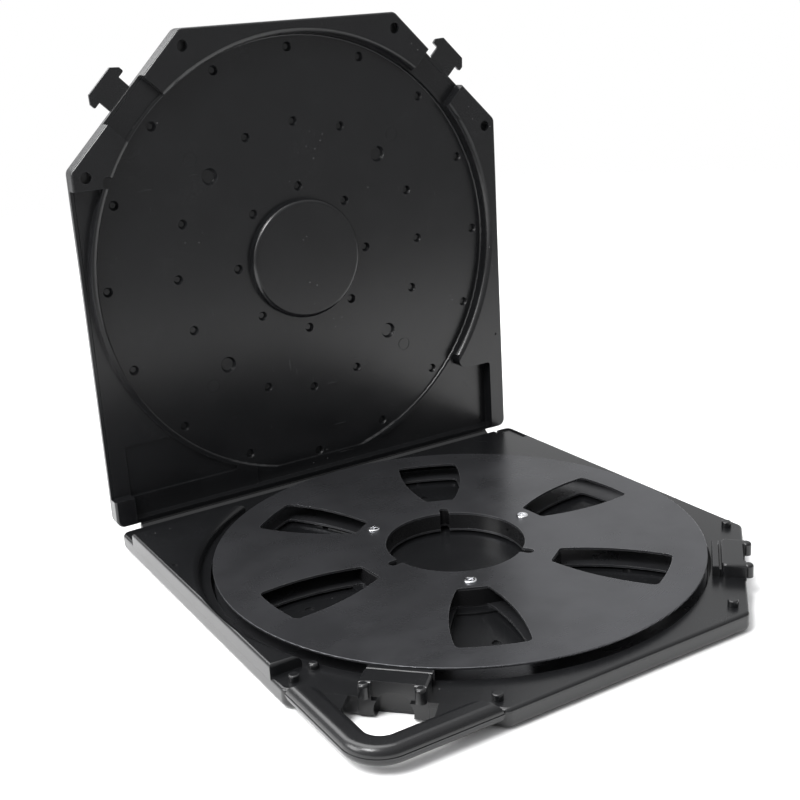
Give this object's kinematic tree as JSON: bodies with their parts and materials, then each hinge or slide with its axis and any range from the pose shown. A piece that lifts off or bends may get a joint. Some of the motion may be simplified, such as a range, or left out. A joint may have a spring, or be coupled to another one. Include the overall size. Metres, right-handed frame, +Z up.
{
  "type": "open reel storage case with tape reel",
  "caption": "Shallow hinged moulded storage case, open, with corner handle and fold-over latch tabs, holding an empty windowed tape reel.",
  "frame": {"origin": "reel axis at the underside of the base", "axes": "+Z up, +X to the right along the hinge, +Y towards the hinge"},
  "size_m": [0.287, 0.3049, 0.2958],
  "materials": {
    "case_plastic": "satin moulded polyethylene, charcoal black",
    "hinge_plastic": "satin moulded polyethylene, pressed thin",
    "hub_plastic": "fine turned satin, black",
    "reel_aluminium": "black anodised, fine satin",
    "screw_steel": "bright plated"
  },
  "bodies": {
    "base": {"base_outer_shell": "case_plastic", "base_inner_tray": "case_plastic", "locating_pegs": "case_plastic", "latch_catch_left": "case_plastic", "latch_catch_right": "case_plastic", "carry_handle": "case_plastic"},
    "spine": {"hinge_spine": "hinge_plastic"},
    "lid": {"lid_outer_shell": "case_plastic", "lid_inner_panel": "case_plastic"},
    "tab_left": {"latch_left": "hinge_plastic"},
    "tab_right": {"latch_right": "hinge_plastic"},
    "reel": {"reel_hub": "hub_plastic", "reel_upper_flange": "reel_aluminium", "reel_lower_flange": "reel_aluminium", "upper_flange_screws": "screw_steel", "lower_flange_screws": "screw_steel"}
  },
  "joints": [
    {"name": "spine_fold", "type": "hinge", "parent": "base", "child": "spine", "pos_m": [0, 0.1416, 0.0036], "axis": [-1, 0, 0], "range_deg": [-45.15, 20]},
    {"name": "lid_fold", "type": "hinge", "parent": "spine", "child": "lid", "pos_m": [0, 0.14869, 0.01065], "axis": [-1, 0, 0], "range_deg": [-45.15, 20]},
    {"name": "latch_left_fold", "type": "hinge", "parent": "lid", "child": "tab_left", "pos_m": [-0.10762, 0.15479, 0.25985], "axis": [-0.7071, -0.0037, -0.7071], "range_deg": [-90, 30]},
    {"name": "latch_right_fold", "type": "hinge", "parent": "lid", "child": "tab_right", "pos_m": [0.10762, 0.15479, 0.25985], "axis": [-0.7071, 0.0037, 0.7071], "range_deg": [-90, 30]},
    {"name": "reel_lift", "type": "slide", "parent": "base", "child": "reel", "axis": [0, 0, 1], "range_m": [0, 0.06]}
  ]
}
